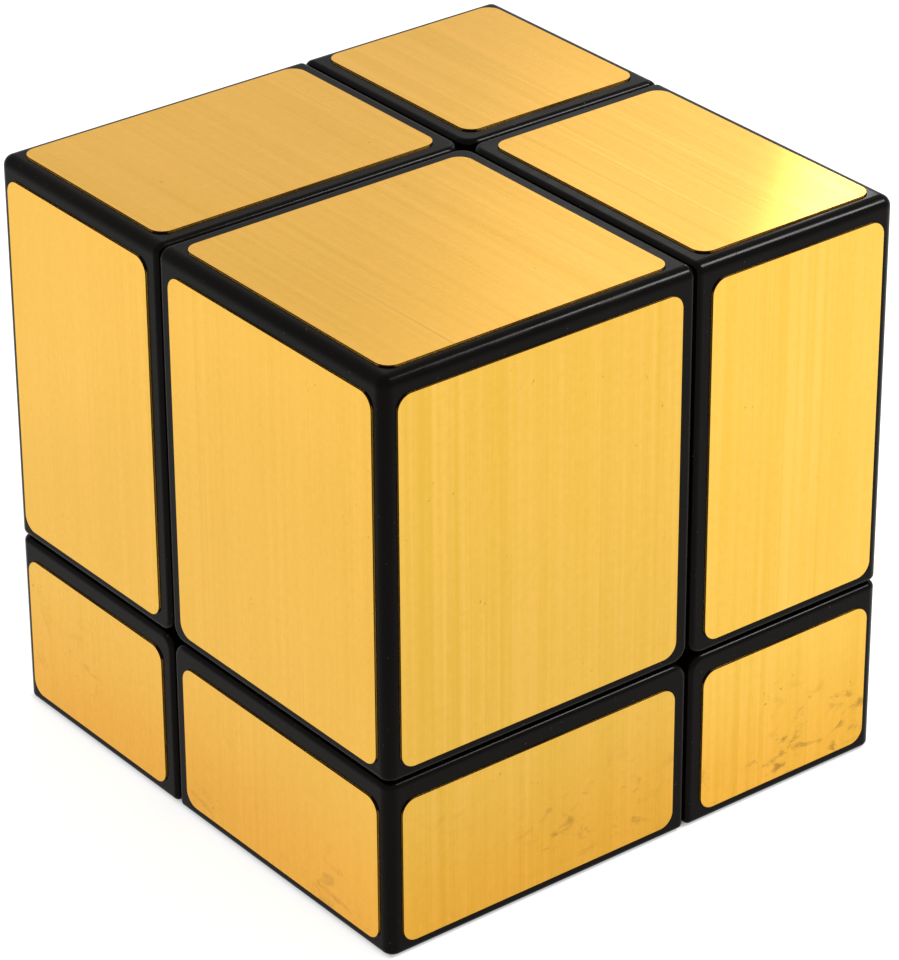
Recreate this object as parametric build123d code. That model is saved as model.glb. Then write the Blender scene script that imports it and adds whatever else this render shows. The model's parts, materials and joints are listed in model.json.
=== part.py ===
from build123d import *

import os
from itertools import product

# A 2 x 2 x 2 mirror block cube: a twisting puzzle of eight hollow blocks of different sizes, each with
# three foil stickers, held round one pivot by a hidden mechanism of a six-armed core, six sprung
# centres and twelve inner edges.
#
# Millimetres. +Z is up, -Y is the front and -X is the left. The origin is in the middle of the
# underside. The two layers that lie on each other turn about the vertical line through the pivot.

# Outside
CUBE = 50.0  # side of the solved puzzle, over the foils
LEFT_DEPTH = 29.75  # left face to the left/right split
FRONT_DEPTH = 28.15  # front face to the front/back split
LOWER_HEIGHT = 15.65  # underside to the lower/upper split
GAP = 0.2  # between neighbouring blocks
EDGE_RADIUS = 0.95  # on the outer edges of a block
BASE_RADIUS = 0.4  # on the outer edges round the underside
RIM_RADIUS = 0.5  # on the edges where a block's outer faces meet the splits
INNER_RADIUS = 1.4  # on the edges between two splits, which show at the crossings

# Foils
FOIL = 0.15  # thickness
FOIL_CORNER = 1.3  # radius of a foil's corners
FOIL_BEVEL = 0.05  # along the outer rim of a foil
INSET_SPLIT = 1.44  # black border beside a split
INSET_EDGE = 1.35  # black border beside an outer edge
INSET_ABOVE = 1.75  # black border above a side foil: the side foils sit a little low
INSET_BELOW = 1.05  # black border under a side foil

# Blocks
CAP_WALL = 1.6
FOOT_WALL = 1.4
SEAM_WIDTH = 0.1  # groove where a foot's rim meets its cap
SEAM_DEPTH = 0.3
RECESS_RADIUS = 13.0  # hollow round the mechanism

# Mechanism: three spherical levels about the pivot. In each level the pieces are parted by planes
# square to the axes, and the planes come closer to the pivot from level to level, so that a corner's
# hook lies under the edges and an edge's toe lies under the centres.
CLEAR = 0.2  # running clearance between any two pieces
NECK_LEVEL = (10.2, 12.8, 4.8)  # inner radius, outer radius, distance of the planes
HOOK_LEVEL = (7.2, 10.2, 3.4)
TOE_LEVEL = (4.4, 7.2, 2.2)
OVERLAP = 0.3  # how far a bridge between two levels runs into each of them
CENTRE_TRAVEL = 0.4  # outward, against the spring

# Core, screws, washers and springs, each stack along its own arm
HUB_RADIUS = 4.2
ARM_RADIUS = 2.0
ARM_END = 7.25
SEAT_RADIUS = 2.2  # recess in a centre's foot that sits over the arm
FLOOR_BOTTOM = 7.3  # distance of a centre's floor from the pivot
FLOOR_TOP = 8.3
POCKET_RADIUS = 2.6
SCREW_RADIUS = 0.95
SCREW_HOLE = 1.0
FLOOR_HOLE = 1.15
SCREW_TIP = 2.4
HOLE_BOTTOM = 2.2
WASHER_RADIUS = 2.3
WASHER_HOLE = 1.05
WASHER_BOTTOM = 10.4
WASHER_THICKNESS = 0.3
HEAD_RADIUS = 2.1
HEAD_HEIGHT = 1.1
DRIVE_WIDTH = 0.45  # cross recess in the screw's head
DRIVE_LENGTH = 2.4
DRIVE_DEPTH = 0.6
SPRING_RADIUS = 1.9  # to the middle of the wire
WIRE_RADIUS = 0.2
SPRING_TURNS = 3
SPRING_SLACK = 0.02  # at each end of a spring

SIDES = (("left", "right"), ("front", "back"), ("lower", "upper"))
DIRECTIONS = {
    "left": (-1, 0, 0),
    "right": (1, 0, 0),
    "front": (0, -1, 0),
    "back": (0, 1, 0),
    "bottom": (0, 0, -1),
    "top": (0, 0, 1),
}
TOUCH = 0.001  # nearer than this counts as touching
NEAR_REACH = (LEFT_DEPTH, FRONT_DEPTH, LOWER_HEIGHT)  # pivot to the left, front and under faces
PIVOT = Pos(LEFT_DEPTH - CUBE / 2, FRONT_DEPTH - CUBE / 2, LOWER_HEIGHT)


def save(node, *pieces):
    """Write a node of one or more pieces, moved from the pivot's frame to the puzzle's own frame."""
    placed = [PIVOT * piece for piece in pieces]
    export_step(placed[0] if len(placed) == 1 else Compound(placed), f"parts/{node}.step")


def reach(axis, sign):
    """Distance from the pivot to the outside of the puzzle, along one axis."""
    if sign < 0:
        return NEAR_REACH[axis]
    return CUBE - NEAR_REACH[axis]


def box(low, high):
    """The box between two opposite corners, given in either order."""
    size = [abs(b - a) for a, b in zip(low, high)]
    middle = [(a + b) / 2 for a, b in zip(low, high)]
    return Pos(*middle) * Box(*size)


def side_name(axis, sign):
    """The word for one side of a split."""
    return SIDES[axis][sign > 0]


def block_name(signs):
    """A block's name, such as upper_front_left."""
    return "_".join(side_name(axis, signs[axis]) for axis in (2, 1, 0))


def face_name(axis, sign):
    """The outer face of a block that looks along one axis."""
    if axis == 2:
        return "top" if sign > 0 else "bottom"
    return side_name(axis, sign)


# ---------------------------------------------------------------------------------- blocks


def planes_at(edge, corner):
    """How many of the three planes through a corner an edge's middle lies in."""
    return sum(abs(a - b) < TOUCH for a, b in zip(edge.center(), corner))


def at_base(edge):
    """Whether an edge's middle lies in the underside."""
    return abs(edge.center().Z + LOWER_HEIGHT - FOIL) < TOUCH


def block_form(signs):
    """The outside of one block as a solid, with every edge and corner rounded."""
    inner = [s * GAP / 2 for s in signs]
    outer = [s * (reach(axis, s) - FOIL) for axis, s in enumerate(signs)]
    form = box(inner, outer)
    outside = [edge for edge in form.edges() if planes_at(edge, outer) == 2]
    form = fillet([edge for edge in outside if not at_base(edge)], EDGE_RADIUS)
    base = [edge for edge in form.edges() if at_base(edge) and planes_at(edge, inner) == 0]
    if base:
        form = fillet(base, BASE_RADIUS)
    form = fillet([edge for edge in form.edges() if planes_at(edge, inner) == 2], INNER_RADIUS)
    rims = [edge for edge in form.edges() if planes_at(edge, inner) == planes_at(edge, outer) == 1]
    return fillet(rims, RIM_RADIUS)


def cap_room(signs):
    """The room inside a cap's three outer walls, open at the three splits."""
    high = [s * (reach(axis, s) - FOIL - CAP_WALL) for axis, s in enumerate(signs)]
    return box([-s for s in signs], high)


def cap(signs):
    """The outer shell of a block: its three outside faces in one moulding."""
    return block_form(signs) - cap_room(signs)


def seam(signs):
    """The groove round the rims of a block's foot, where they meet the cap."""
    rim = [s * (reach(axis, s) - FOIL - CAP_WALL) for axis, s in enumerate(signs)]
    groove = []
    for deep, wide in product(range(3), repeat=2):
        if deep == wide:
            continue
        low = [-s for s in signs]
        high = list(rim)
        high[deep] = signs[deep] * (GAP / 2 + SEAM_DEPTH)
        low[wide] = rim[wide] - signs[wide] * SEAM_WIDTH
        groove.append(box(low, high))
    return groove


def foot(signs):
    """The inner moulding of a block: three walls on the splits, a bowl round the mechanism, a neck
    and a hook that the inner edges hold."""
    plug = block_form(signs) & cap_room(signs)
    inside = [s * (GAP / 2 + FOOT_WALL) for s in signs]
    walls = plug - box(inside, [s * CUBE for s in signs])
    bowl = plug & Sphere(RECESS_RADIUS + FOOT_WALL)
    body = (walls + bowl) - Sphere(RECESS_RADIUS)
    for groove in seam(signs):
        body -= groove
    neck = cell(NECK_LEVEL[0] - OVERLAP, RECESS_RADIUS + OVERLAP, NECK_LEVEL[2], 0, signs)
    hook = cell(HOOK_LEVEL[0] + CLEAR / 2, HOOK_LEVEL[1] - CLEAR / 2, HOOK_LEVEL[2], 0, signs)
    return body + neck + hook


def foil(signs, axis):
    """The sticker on the outer face of a block that looks along one axis."""
    first, second = [k for k in range(3) if k != axis]
    spans = {}
    for k in (first, second):
        near, far = INSET_SPLIT, INSET_EDGE
        if k == 2:
            near, far = (INSET_BELOW, INSET_ABOVE) if signs[k] > 0 else (INSET_ABOVE, INSET_BELOW)
        spans[k] = (near, reach(k, signs[k]) - far)
    centre = [0.0, 0.0, 0.0]
    centre[axis] = signs[axis] * (reach(axis, signs[axis]) - FOIL)
    for k, (near, far) in spans.items():
        centre[k] = signs[k] * (near + far) / 2
    outward = [signs[k] if k == axis else 0 for k in range(3)]
    along = [1 if k == first else 0 for k in range(3)]
    face = Plane(origin=centre, x_dir=along, z_dir=outward)
    width, height = [far - near for near, far in spans.values()]
    sheet = extrude(face * RectangleRounded(width, height, FOIL_CORNER), FOIL)
    outside = sheet.faces().sort_by(Axis(centre, outward))[-1]
    return chamfer(outside.edges(), FOIL_BEVEL)


# -------------------------------------------------------------------------------- mechanism


def cell(inner, outer, beyond, within, signs):
    """Part of a spherical level: further out than one plane along each signed axis, and nearer than
    the other plane along each axis with no sign."""
    low = [s * (beyond + CLEAR / 2) if s else -(within - CLEAR / 2) for s in signs]
    high = [s * outer if s else within - CLEAR / 2 for s in signs]
    return (Sphere(outer) & box(low, high)) - Sphere(inner)


def stepped(signs, levels):
    """One piece of the mechanism: its cell in each level, joined from level to level."""
    piece = None
    for inner, outer, plane in levels:
        part = cell(inner + CLEAR / 2, outer - CLEAR / 2, plane, plane, signs)
        piece = part if piece is None else piece + part
    for (join, _, beyond), (_, _, within) in zip(levels, levels[1:]):
        piece += cell(join - OVERLAP, join + OVERLAP, beyond, within, signs)
    return piece


def inner_edge(signs):
    """An inner edge: wings over the feet of two blocks and a toe under two centres."""
    return stepped(signs, (NECK_LEVEL, HOOK_LEVEL, TOE_LEVEL))


def inner_edges(height):
    """The four inner edges of the upper (1), middle (0) or lower (-1) slice."""
    edges = []
    for signs in product((-1, 0, 1), repeat=3):
        if signs[2] == height and signs.count(0) == 1:
            edges.append(inner_edge(signs))
    return edges


def rod(radius, start, end):
    """A round bar along +Z between two distances from the pivot."""
    return Pos(0, 0, (start + end) / 2) * Cylinder(radius, end - start)


def toward(direction, shape):
    """Turn a shape made along +Z to point along a direction."""
    return Plane(origin=(0, 0, 0), z_dir=direction).location * shape


def centre():
    """A centre: a cap over four inner edges, bored for its screw, washer and spring."""
    body = stepped((0, 0, 1), (NECK_LEVEL, HOOK_LEVEL))
    body = body & Sphere(NECK_LEVEL[1] - CLEAR / 2 - CENTRE_TRAVEL)
    body -= rod(SEAT_RADIUS, 0, FLOOR_BOTTOM)
    body -= rod(POCKET_RADIUS, FLOOR_TOP, RECESS_RADIUS)
    return body - rod(FLOOR_HOLE, 0, RECESS_RADIUS)


def core():
    """The hub and its six arms, each drilled for a screw."""
    body = Sphere(HUB_RADIUS)
    for direction in DIRECTIONS.values():
        body += toward(direction, rod(ARM_RADIUS, 0, ARM_END))
    for direction in DIRECTIONS.values():
        body -= toward(direction, rod(SCREW_HOLE, HOLE_BOTTOM, RECESS_RADIUS))
    return body


def screw():
    """A pan-head screw with a cross recess."""
    head_bottom = WASHER_BOTTOM + WASHER_THICKNESS
    head_top = head_bottom + HEAD_HEIGHT
    body = rod(SCREW_RADIUS, SCREW_TIP, head_bottom) + rod(HEAD_RADIUS, head_bottom, head_top)
    tip = body.edges().sort_by(Axis.Z)[0]
    rim = body.edges().sort_by(Axis.Z)[-1]
    body = chamfer([tip, rim], SCREW_RADIUS / 3)
    recess = Pos(0, 0, head_top - DRIVE_DEPTH / 2)
    body -= recess * Box(DRIVE_LENGTH, DRIVE_WIDTH, DRIVE_DEPTH)
    return body - recess * Box(DRIVE_WIDTH, DRIVE_LENGTH, DRIVE_DEPTH)


def washer():
    """The flat ring between a screw's head and its spring."""
    top = WASHER_BOTTOM + WASHER_THICKNESS
    return rod(WASHER_RADIUS, WASHER_BOTTOM, top) - rod(WASHER_HOLE, WASHER_BOTTOM, top)


def spring():
    """The coil spring between a centre's floor and the washer."""
    start = FLOOR_TOP + WIRE_RADIUS + SPRING_SLACK
    height = WASHER_BOTTOM - WIRE_RADIUS - SPRING_SLACK - start
    coil = Pos(0, 0, start) * Helix(height / SPRING_TURNS, height, SPRING_RADIUS)
    section = Plane(origin=coil @ 0, z_dir=coil % 0) * Circle(WIRE_RADIUS)
    return sweep(section, path=coil, is_frenet=True)


def all_round(shape):
    """Six copies of a shape made along +Z, one for each arm of the core."""
    return [toward(direction, shape) for direction in DIRECTIONS.values()]


os.makedirs("parts", exist_ok=True)

for block in product((-1, 1), repeat=3):
    save(block_name(block) + "_cap", cap(block))
    save(block_name(block) + "_foot", foot(block))
    for facing in range(3):
        name = f"{block_name(block)}_{face_name(facing, block[facing])}_foil"
        save(name, foil(block, facing))

save("lower_inner_edges", *inner_edges(-1))
save("middle_inner_edges", *inner_edges(0))
save("upper_inner_edges", *inner_edges(1))

for side, heading in DIRECTIONS.items():
    save(side + "_centre", toward(heading, centre()))
    save(side + "_spring", toward(heading, spring()))

save("core", core())
save("centre_screws", *all_round(screw()))
save("centre_washers", *all_round(washer()))
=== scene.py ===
import json
import math

import bmesh
import bpy
from mathutils import Matrix, Vector


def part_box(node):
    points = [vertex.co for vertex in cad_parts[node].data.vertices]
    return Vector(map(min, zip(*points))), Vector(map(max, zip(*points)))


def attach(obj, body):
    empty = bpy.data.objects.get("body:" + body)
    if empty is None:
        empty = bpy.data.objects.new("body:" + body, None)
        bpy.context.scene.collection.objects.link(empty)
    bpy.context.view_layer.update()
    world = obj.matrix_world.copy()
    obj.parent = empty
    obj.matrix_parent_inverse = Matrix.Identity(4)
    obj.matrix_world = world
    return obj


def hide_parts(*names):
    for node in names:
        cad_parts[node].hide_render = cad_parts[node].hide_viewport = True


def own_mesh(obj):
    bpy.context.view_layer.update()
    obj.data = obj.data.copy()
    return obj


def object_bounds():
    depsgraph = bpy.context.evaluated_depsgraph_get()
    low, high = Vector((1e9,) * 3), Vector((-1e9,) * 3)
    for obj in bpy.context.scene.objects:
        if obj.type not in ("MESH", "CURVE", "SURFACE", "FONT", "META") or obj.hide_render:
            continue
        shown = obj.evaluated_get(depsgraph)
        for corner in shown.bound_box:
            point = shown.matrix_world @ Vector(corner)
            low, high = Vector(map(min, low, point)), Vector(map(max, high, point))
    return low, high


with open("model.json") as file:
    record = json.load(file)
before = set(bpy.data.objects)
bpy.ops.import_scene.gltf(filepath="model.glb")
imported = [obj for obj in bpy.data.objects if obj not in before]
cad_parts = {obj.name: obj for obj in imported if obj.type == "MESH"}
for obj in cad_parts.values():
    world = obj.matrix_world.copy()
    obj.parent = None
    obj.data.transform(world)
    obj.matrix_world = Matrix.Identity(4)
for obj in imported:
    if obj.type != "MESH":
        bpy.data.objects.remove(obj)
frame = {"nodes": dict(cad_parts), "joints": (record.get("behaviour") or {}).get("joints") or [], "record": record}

# A solved mirror block cube on a pale floor. Metres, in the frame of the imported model.

MM = 0.001
CAD_LOW, CAD_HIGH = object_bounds()
CENTRE = (CAD_LOW + CAD_HIGH) / 2
SIDE = (CAD_HIGH - CAD_LOW).x

# Camera: where it stands as seen from the middle of the cube, and what it looks at
CAMERA_AZIMUTH = math.radians(-37.86)
CAMERA_ELEVATION = math.radians(28.48)
CAMERA_DISTANCE = 7.365 * SIDE
CAMERA_ROLL = math.radians(-0.33)
AIM_RIGHT = 0.0082 * SIDE
AIM_UP = -0.0406 * SIDE
LENS = 171.9
SENSOR = 36.0

# Foils cut from one sheet: their names' endings, the axis it is brushed along, a tint that paints that face's
# light and shade (darker on the fronts, brighter on the sides and top), and contrast
FOIL_SHEETS_AND_SHADES = (
    (("left_front_foil",), 2, (0.78, 0.78, 0.74), 1.0),
    (("right_front_foil", "back_foil"), 2, (0.87, 0.88, 0.84), 1.0),
    (("left_foil", "right_foil"), 2, (1.04, 0.99, 0.84), 0.4),
    (("top_foil", "bottom_foil"), 1, (1.09, 1.0, 0.77), 0.9),
)

GOLD_DARK = (0.735, 0.440, 0.058)
GOLD_BRIGHT = (0.820, 0.492, 0.092)
SCORE_COLOUR = (0.42, 0.27, 0.03)
SPECK_COLOUR = (0.34, 0.18, 0.04)
RUB_COLOUR = (0.33, 0.17, 0.03)
CUT_COLOUR = (0.03, 0.012, 0.004)
FLOOR_SHADE_TINT = (0.98, 0.83, 0.50)  # painted shade: the lower layer's foils darken and warm towards the floor, for the shaded floor they reflect
FLOOR_SHADE_TOP = 15 * MM  # where that painted shade fades out

WORLD_COLOUR = (1.0, 0.995, 0.99, 1.0)
WORLD_STRENGTH = 0.92
# Name, point lit (mm from the top front right corner), azimuth and elevation in degrees, distance,
# width and height in metres, and power in watts
LIGHTS = (
    ("key", (0.0, 0.0, 0.0), 55, 46, 0.22, 0.03, 0.08, 0.5),
    ("back", (0.0, 0.0, 0.0), 142, 28.5, 0.25, 0.06, 0.06, 0.012),
    ("lamp", (1.0, 0.0, 0.0), 144, 28.5, 0.05, 0.007, 0.014, 0.0025),
)

FLOOR_RADIUS = 2.5
FLOOR_GLOW = 0.72  # painted light: the floor's glow behind the cube on the left, rising to the brighter front right
BRIGHT_GLOW = 0.85
GLOW_AZIMUTH = 60  # degrees, the way in which the glow rises
GLOW_FROM, GLOW_TO = 0.2 * SIDE, 2.2 * SIDE  # distances that way
SHADE_FROM, SHADE_TO = SIDE / 2 - 1.5 * MM, SIDE / 2 + 0.2 * MM  # painted contact shadow: no glow within, full beyond


# ------------------------------------------------------------------------------ node helpers


class Nodes:
    """A material's node tree, with short calls for the nodes that the materials share."""

    def __init__(self, name):
        self.material = bpy.data.materials.new(name)
        self.material.use_nodes = True
        self.tree = self.material.node_tree
        self.tree.nodes.clear()
        self.shader = self.add("ShaderNodeBsdfPrincipled")
        out = self.add("ShaderNodeOutputMaterial")
        self.link(self.shader.outputs["BSDF"], out.inputs["Surface"])
        self.place = self.add("ShaderNodeTexCoord").outputs["Object"]

    def add(self, kind, **settings):
        node = self.tree.nodes.new(kind)
        for key, value in settings.items():
            setattr(node, key, value)
        return node

    def link(self, source, target):
        self.tree.links.new(source, target)

    def set(self, target, value):
        """Link an output, or set a constant, on an input."""
        if isinstance(value, bpy.types.NodeSocket):
            self.link(value, target)
        else:
            target.default_value = value

    def math(self, operation, a, b=0.0, c=0.0, clamp=False):
        node = self.add("ShaderNodeMath", operation=operation, use_clamp=clamp)
        for socket, value in zip(node.inputs, (a, b, c)):
            self.set(socket, value)
        return node.outputs[0]

    def scaled(self, scale, shift=(0.0, 0.0, 0.0)):
        """The object's own coordinates, scaled for each axis and shifted."""
        node = self.add("ShaderNodeMapping")
        self.link(self.place, node.inputs["Vector"])
        node.inputs["Scale"].default_value = scale
        self.set(node.inputs["Location"], shift)
        return node.outputs[0]

    def noise(self, vector, detail=2.0, roughness=0.5, distortion=0.0):
        node = self.add("ShaderNodeTexNoise")
        self.link(vector, node.inputs["Vector"])
        node.inputs["Scale"].default_value = 1.0
        node.inputs["Detail"].default_value = detail
        node.inputs["Roughness"].default_value = roughness
        node.inputs["Distortion"].default_value = distortion
        return node.outputs["Fac"]

    def remap(self, value, low, high, to_low=0.0, to_high=1.0):
        node = self.add("ShaderNodeMapRange", interpolation_type="SMOOTHSTEP")
        self.set(node.inputs["Value"], value)
        node.inputs["From Min"].default_value = low
        node.inputs["From Max"].default_value = high
        node.inputs["To Min"].default_value = to_low
        node.inputs["To Max"].default_value = to_high
        return node.outputs[0]

    def mix(self, amount, a, b, blend="MIX"):
        node = self.add("ShaderNodeMix", data_type="RGBA", blend_type=blend)
        self.set(node.inputs[0], amount)
        for socket, value in ((node.inputs[6], a), (node.inputs[7], b)):
            self.set(socket, value if isinstance(value, bpy.types.NodeSocket) else (*value, 1.0))
        return node.outputs[2]

    def bump(self, height, distance, strength=1.0, under=None):
        node = self.add("ShaderNodeBump")
        node.inputs["Strength"].default_value = strength
        node.inputs["Distance"].default_value = distance
        self.link(height, node.inputs["Height"])
        if under is not None:
            self.link(under, node.inputs["Normal"])
        return node.outputs[0]


# -------------------------------------------------------------------------------- materials


def along(axis, across_mm, along_mm):
    """Scales for noise that is stretched along one axis: feature sizes across and along it."""
    return tuple(1 / ((along_mm if k == axis else across_mm) * MM) for k in range(3))


def cut_edge(n):
    """1 on the narrow bevel round a foil, where the film's cut edge shows, and 0 on its face."""
    normal = n.add("ShaderNodeSeparateXYZ")
    n.link(n.add("ShaderNodeTexCoord").outputs["Normal"], normal.inputs[0])
    size = [n.math("ABSOLUTE", socket) for socket in normal.outputs]
    facing = n.math("MAXIMUM", size[0], n.math("MAXIMUM", size[1], size[2]))
    return n.remap(facing, 0.99, 0.93)


def own_shift(n):
    """A shift of the noise that is different for each foil, so that no two are alike."""
    own = n.math("MULTIPLY", n.add("ShaderNodeObjectInfo").outputs["Random"], 40.0)
    shift = n.add("ShaderNodeCombineXYZ")
    for socket in shift.inputs:
        n.link(own, socket)
    return shift.outputs[0]


def brushed_foil(name, grain, tint, contrast):
    """Gold metallised film, brushed along one axis (0, 1 or 2), its tint painting the light and shade of the faces
    it covers.
    """
    n = Nodes(name)
    shift = own_shift(n)

    # Brushing: fine hairs and lines in uneven patches, wide bands and faint clouds
    hair = n.noise(n.scaled(along(grain, 0.22, 26.0), shift), 1.0, 0.5)
    line = n.noise(n.scaled(along(grain, 0.6, 80.0), shift), 2.0, 0.5)
    patch = n.noise(n.scaled(along(grain, 4.5, 60.0), shift), 1.0, 0.5)
    band = n.noise(n.scaled(along(grain, 2.8, 150.0), shift), 2.0, 0.5)
    cloud = n.noise(n.scaled(along(grain, 9.0, 14.0), shift), 2.0, 0.5)
    mottle = n.noise(n.scaled((1600.0,) * 3, shift), 2.0, 0.6)
    uneven = n.math("MULTIPLY", n.math("SUBTRACT", line, 0.5), n.remap(patch, 0.3, 0.7, 0.35, 1.3))
    streak = n.math("MULTIPLY_ADD", hair, 0.38, n.math("MULTIPLY_ADD", uneven, 0.75, 0.31))

    # Painted light and shade: the tint darkens the gold on the fronts and brightens it on the sides and top.
    dark = tuple(t * c for t, c in zip(tint, GOLD_DARK))
    bright = tuple(t * c for t, c in zip(tint, GOLD_BRIGHT))
    amount = n.math("MULTIPLY_ADD", n.math("SUBTRACT", streak, 0.5), contrast * 3.2, 0.5)
    amount = n.math("MULTIPLY_ADD", n.math("SUBTRACT", band, 0.5), contrast * 0.9, amount)
    amount = n.math("MULTIPLY_ADD", n.math("SUBTRACT", cloud, 0.5), 0.5, amount)
    amount = n.math("MULTIPLY_ADD", n.math("SUBTRACT", mottle, 0.5), 0.9, amount, clamp=True)
    colour = n.mix(amount, dark, bright)

    # Wear: scored lines, specks, and rub marks low on the lower foils, with a painted shade that darkens the lower
    # foils towards the floor
    score = n.noise(n.scaled(along(grain, 0.30, 60.0), shift), 0.0, 0.0)
    score = n.math("MULTIPLY", n.remap(score, 0.72, 0.84), n.remap(line, 0.55, 0.62))
    colour = n.mix(n.math("MULTIPLY", score, 0.5 * contrast), colour, SCORE_COLOUR)
    speck = n.noise(n.scaled((2400.0,) * 3, shift), 1.0, 0.5)
    spot = n.noise(n.scaled((150.0,) * 3, shift), 1.0, 0.5)
    speck = n.math("MULTIPLY", n.remap(speck, 0.72, 0.78), n.remap(spot, 0.60, 0.66))
    colour = n.mix(n.math("MULTIPLY", speck, 0.5), colour, SPECK_COLOUR)
    height = n.add("ShaderNodeSeparateXYZ")
    n.link(n.place, height.inputs[0])
    # Painted shade: darker and warmer towards the floor on the lower foils, for the shaded floor that they reflect
    # near the cube.
    low = n.remap(height.outputs["Z"], FLOOR_SHADE_TOP, CAD_LOW.z)
    colour = n.mix(n.math("MULTIPLY", low, 0.8), colour, FLOOR_SHADE_TINT, "MULTIPLY")
    rubbed = n.noise(n.scaled((420.0, 420.0, 700.0), shift), 3.0, 0.65, 0.6)
    where = n.noise(n.scaled((75.0,) * 3, shift), 1.0, 0.5)
    rubbed = n.math("MULTIPLY", n.remap(rubbed, 0.53, 0.70), n.remap(where, 0.48, 0.62))
    rubbed = n.math("MULTIPLY", rubbed, n.math("MULTIPLY", low, 0.85 * contrast))
    colour = n.mix(rubbed, colour, RUB_COLOUR)
    edge = cut_edge(n)
    n.link(n.mix(edge, colour, CUT_COLOUR), n.shader.inputs["Base Color"])

    n.shader.inputs["Metallic"].default_value = 1.0
    rough = n.remap(hair, 0.3, 0.7, 0.27, 0.33)
    rough = n.math("MULTIPLY_ADD", n.math("ADD", speck, rubbed), 0.2, rough)
    n.link(n.math("MAXIMUM", rough, n.math("MULTIPLY", edge, 0.55)), n.shader.inputs["Roughness"])
    n.shader.inputs["Anisotropic"].default_value = 0.75
    tangent = n.add("ShaderNodeTangent", direction_type="RADIAL")
    tangent.axis = "Y" if grain == 1 else "Z"
    n.link(tangent.outputs[0], n.shader.inputs["Tangent"])
    n.link(n.bump(streak, 0.004 * MM, 0.5), n.shader.inputs["Normal"])
    return n.material


def moulded_plastic(name, dark, light, roughness, specular, peel_mm=0.0012):
    """Injection-moulded plastic: a faint orange peel, handling marks and fine dust."""
    n = Nodes(name)
    wide = n.noise(n.scaled((90.0,) * 3), 3.0, 0.55)
    fine = n.noise(n.scaled((1100.0,) * 3), 3.0, 0.6)
    marks = n.noise(n.scaled((260.0, 900.0, 420.0)), 4.0, 0.65, 0.4)
    dust = n.remap(n.noise(n.scaled((3800.0,) * 3), 1.0, 0.5), 0.75, 0.82)
    colour = n.mix(n.remap(wide, 0.3, 0.7), dark, light)
    colour = n.mix(n.math("MULTIPLY", dust, 0.15), colour, (0.22, 0.21, 0.20))
    n.link(colour, n.shader.inputs["Base Color"])
    rough = n.remap(marks, 0.35, 0.75, roughness * 0.8, roughness * 1.35)
    n.link(n.math("ADD", rough, n.math("MULTIPLY", dust, 0.3)), n.shader.inputs["Roughness"])
    n.shader.inputs["Specular IOR Level"].default_value = specular
    peel = n.bump(wide, peel_mm * 2 * MM, 0.6)
    n.link(n.bump(fine, peel_mm * MM, 0.5, peel), n.shader.inputs["Normal"])
    return n.material


def plated_steel(name, tint, roughness):
    """Zinc-plated or bright spring steel with faint turning marks."""
    n = Nodes(name)
    grain = n.noise(n.scaled((2500.0,) * 3), 3.0, 0.6)
    stain = n.noise(n.scaled((400.0,) * 3), 2.0, 0.5)
    darker = tuple(c * 0.72 for c in tint)
    n.link(n.mix(n.remap(stain, 0.3, 0.75), tint, darker), n.shader.inputs["Base Color"])
    n.shader.inputs["Metallic"].default_value = 1.0
    rough = n.remap(grain, 0.3, 0.7, roughness * 0.8, roughness * 1.3)
    n.link(rough, n.shader.inputs["Roughness"])
    n.link(n.bump(grain, 0.001 * MM, 0.5), n.shader.inputs["Normal"])
    return n.material


def dress():
    """Give every CAD node its finish."""
    # Each sheet's material carries the painted light and shade of its faces.
    shaded_sheets = [
        (endings, brushed_foil("gold_" + endings[0], grain, tint, contrast))
        for endings, grain, tint, contrast in FOIL_SHEETS_AND_SHADES
    ]
    black = moulded_plastic("block_black", (0.0014, 0.0009, 0.0006), (0.0022, 0.0015, 0.0011), 0.2, 0.048)
    inner = moulded_plastic("foot_black", (0.010, 0.010, 0.010), (0.016, 0.016, 0.016), 0.38, 0.4)
    works = moulded_plastic("mechanism_black", (0.012, 0.012, 0.013), (0.02, 0.02, 0.021), 0.42, 0.4)
    white = moulded_plastic("core_white", (0.62, 0.61, 0.57), (0.70, 0.69, 0.66), 0.35, 0.5)
    zinc = plated_steel("zinc_steel", (0.62, 0.64, 0.67), 0.32)
    bright = plated_steel("spring_steel", (0.55, 0.55, 0.56), 0.22)
    finishes = {
        "block_plastic": black,
        "foot_plastic": inner,
        "mechanism_plastic": works,
        "core_plastic": white,
        "zinc_plated_steel": zinc,
        "spring_steel": bright,
    }
    slots = {part["node"]: part["material_slot"] for part in frame["record"]["subparts"]}
    for name, node in frame["nodes"].items():
        if slots[name] == "gold_foil":
            material = next(shaded_sheet for endings, shaded_sheet in shaded_sheets if name.endswith(endings))
        else:
            material = finishes[slots[name]]
        for material_slot in node.material_slots:
            material_slot.material = material


def make_springs():
    """Each centre spring as its own piece: a copy of the spring's mesh hung on the core frame in place of the CAD
    node.
    """
    for joint in frame["joints"]:
        for spring in joint.get("deforming_nodes", []):
            name = spring["node"]
            letter = spring["mode"][-1]
            axis = "xyz".index(letter)
            low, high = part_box(name)
            anchor = (low + high) / 2
            anchor[axis] = spring[f"fixed_end_{letter}_m"]
            piece = bpy.data.objects.new(name + "_closing", frame["nodes"][name].data.copy())
            bpy.context.scene.collection.objects.link(piece)
            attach(piece, "core_frame")
            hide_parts(name)
            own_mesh(piece)


# ------------------------------------------------------------------------- floor, light, camera


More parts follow.
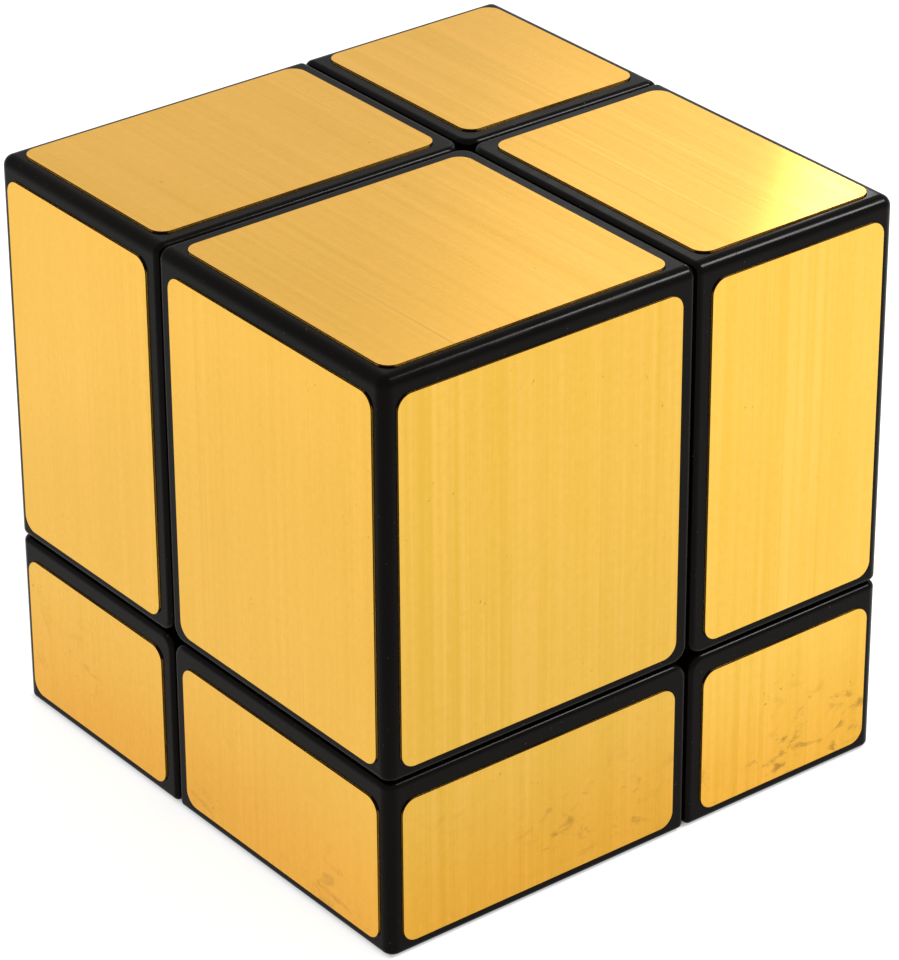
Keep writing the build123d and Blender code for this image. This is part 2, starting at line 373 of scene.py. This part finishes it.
def floor_material():
    """Pale, matt and faintly glowing, so that it comes out nearly white round the cube; the glow is painted light
    that rises towards the front right, held off at the cube's foot as a painted contact shadow.
    """
    n = Nodes("floor")
    grain = n.noise(n.scaled((60.0,) * 3), 4.0, 0.6)
    n.link(n.mix(grain, (0.44, 0.44, 0.44), (0.48, 0.48, 0.48)), n.shader.inputs["Base Color"])
    n.shader.inputs["Roughness"].default_value = 0.7
    n.shader.inputs["Specular IOR Level"].default_value = 0.2
    n.shader.inputs["Emission Color"].default_value = (1.0, 1.0, 1.0, 1.0)
    # Painted light: the glow rises towards the front right.
    way = n.add("ShaderNodeVectorMath", operation="DOT_PRODUCT")
    n.link(n.place, way.inputs[0])
    way.inputs[1].default_value = toward(GLOW_AZIMUTH, 0)
    glow = n.remap(way.outputs["Value"], GLOW_FROM, GLOW_TO, FLOOR_GLOW, BRIGHT_GLOW)
    spread = n.add("ShaderNodeSeparateXYZ")
    n.link(n.place, spread.inputs[0])
    x, y = (n.math("ABSOLUTE", spread.outputs[k]) for k in "XY")
    # Painted contact shadow: no glow next to the cube, full glow beyond.
    clear = n.remap(n.math("MAXIMUM", x, y), SHADE_FROM, SHADE_TO)
    n.link(n.math("MULTIPLY", glow, clear), n.shader.inputs["Emission Strength"])
    return n.material


def make_floor():
    """A round pale floor that the cube stands on."""
    shape = bmesh.new()
    bmesh.ops.create_circle(shape, cap_ends=True, segments=96, radius=FLOOR_RADIUS)
    mesh = bpy.data.meshes.new("floor")
    shape.to_mesh(mesh)
    shape.free()
    floor = bpy.data.objects.new("floor", mesh)
    floor.location.z = CAD_LOW.z
    mesh.materials.append(floor_material())
    bpy.context.scene.collection.objects.link(floor)


def toward(azimuth, elevation):
    """Unit vector from the cube: azimuth 0 is the front, 90 the right, in degrees."""
    a, e = math.radians(azimuth), math.radians(elevation)
    return Vector((math.sin(a) * math.cos(e), -math.cos(a) * math.cos(e), math.sin(e)))


def soft_light(name, point, azimuth, elevation, distance, width, height, power):
    """A rectangular soft light that faces a point on the cube from a distance."""
    data = bpy.data.lights.new(name, "AREA")
    data.shape = "RECTANGLE"
    data.size, data.size_y = width, height
    data.energy = power
    light = bpy.data.objects.new(name, data)
    way = toward(azimuth, elevation)
    light.location = point + way * distance
    light.rotation_mode = "QUATERNION"
    light.rotation_quaternion = way.to_track_quat("Z", "Y")
    light.visible_camera = False
    bpy.context.scene.collection.objects.link(light)


def make_lights():
    """An even pale world, and three lights that make the highlights."""
    world = bpy.data.worlds.new("studio")
    world.use_nodes = True
    back = world.node_tree.nodes["Background"]
    back.inputs["Color"].default_value = WORLD_COLOUR
    back.inputs["Strength"].default_value = WORLD_STRENGTH
    bpy.context.scene.world = world
    corner = Vector((CAD_HIGH.x, CAD_LOW.y, CAD_HIGH.z))
    for name, offset, *placing in LIGHTS:
        soft_light(name, corner + Vector(offset) * MM, *placing)


def make_camera():
    """The photograph's viewpoint: a long lens, slightly rolled, aimed just off the middle."""
    data = bpy.data.cameras.new("camera")
    data.lens = LENS
    data.sensor_width = SENSOR
    data.clip_start, data.clip_end = 0.01, 20.0
    camera = bpy.data.objects.new("camera", data)
    away = toward(math.degrees(CAMERA_AZIMUTH), math.degrees(CAMERA_ELEVATION))
    right = (-away).cross(Vector((0, 0, 1))).normalized()
    up = right.cross(-away)
    camera.location = CENTRE + away * CAMERA_DISTANCE
    aim = CENTRE + right * AIM_RIGHT + up * AIM_UP
    look = (aim - camera.location).normalized()
    level = look.cross(Vector((0, 0, 1))).normalized()
    upright = level.cross(look)
    side = level * math.cos(CAMERA_ROLL) + upright * math.sin(CAMERA_ROLL)
    top = side.cross(look)
    camera.rotation_mode = "QUATERNION"
    camera.rotation_quaternion = Matrix((side, top, -look)).transposed().to_quaternion()
    bpy.context.scene.collection.objects.link(camera)
    bpy.context.scene.camera = camera


dress()
make_springs()
make_floor()
make_lights()
make_camera()
bpy.context.scene.view_settings.view_transform = "Standard"
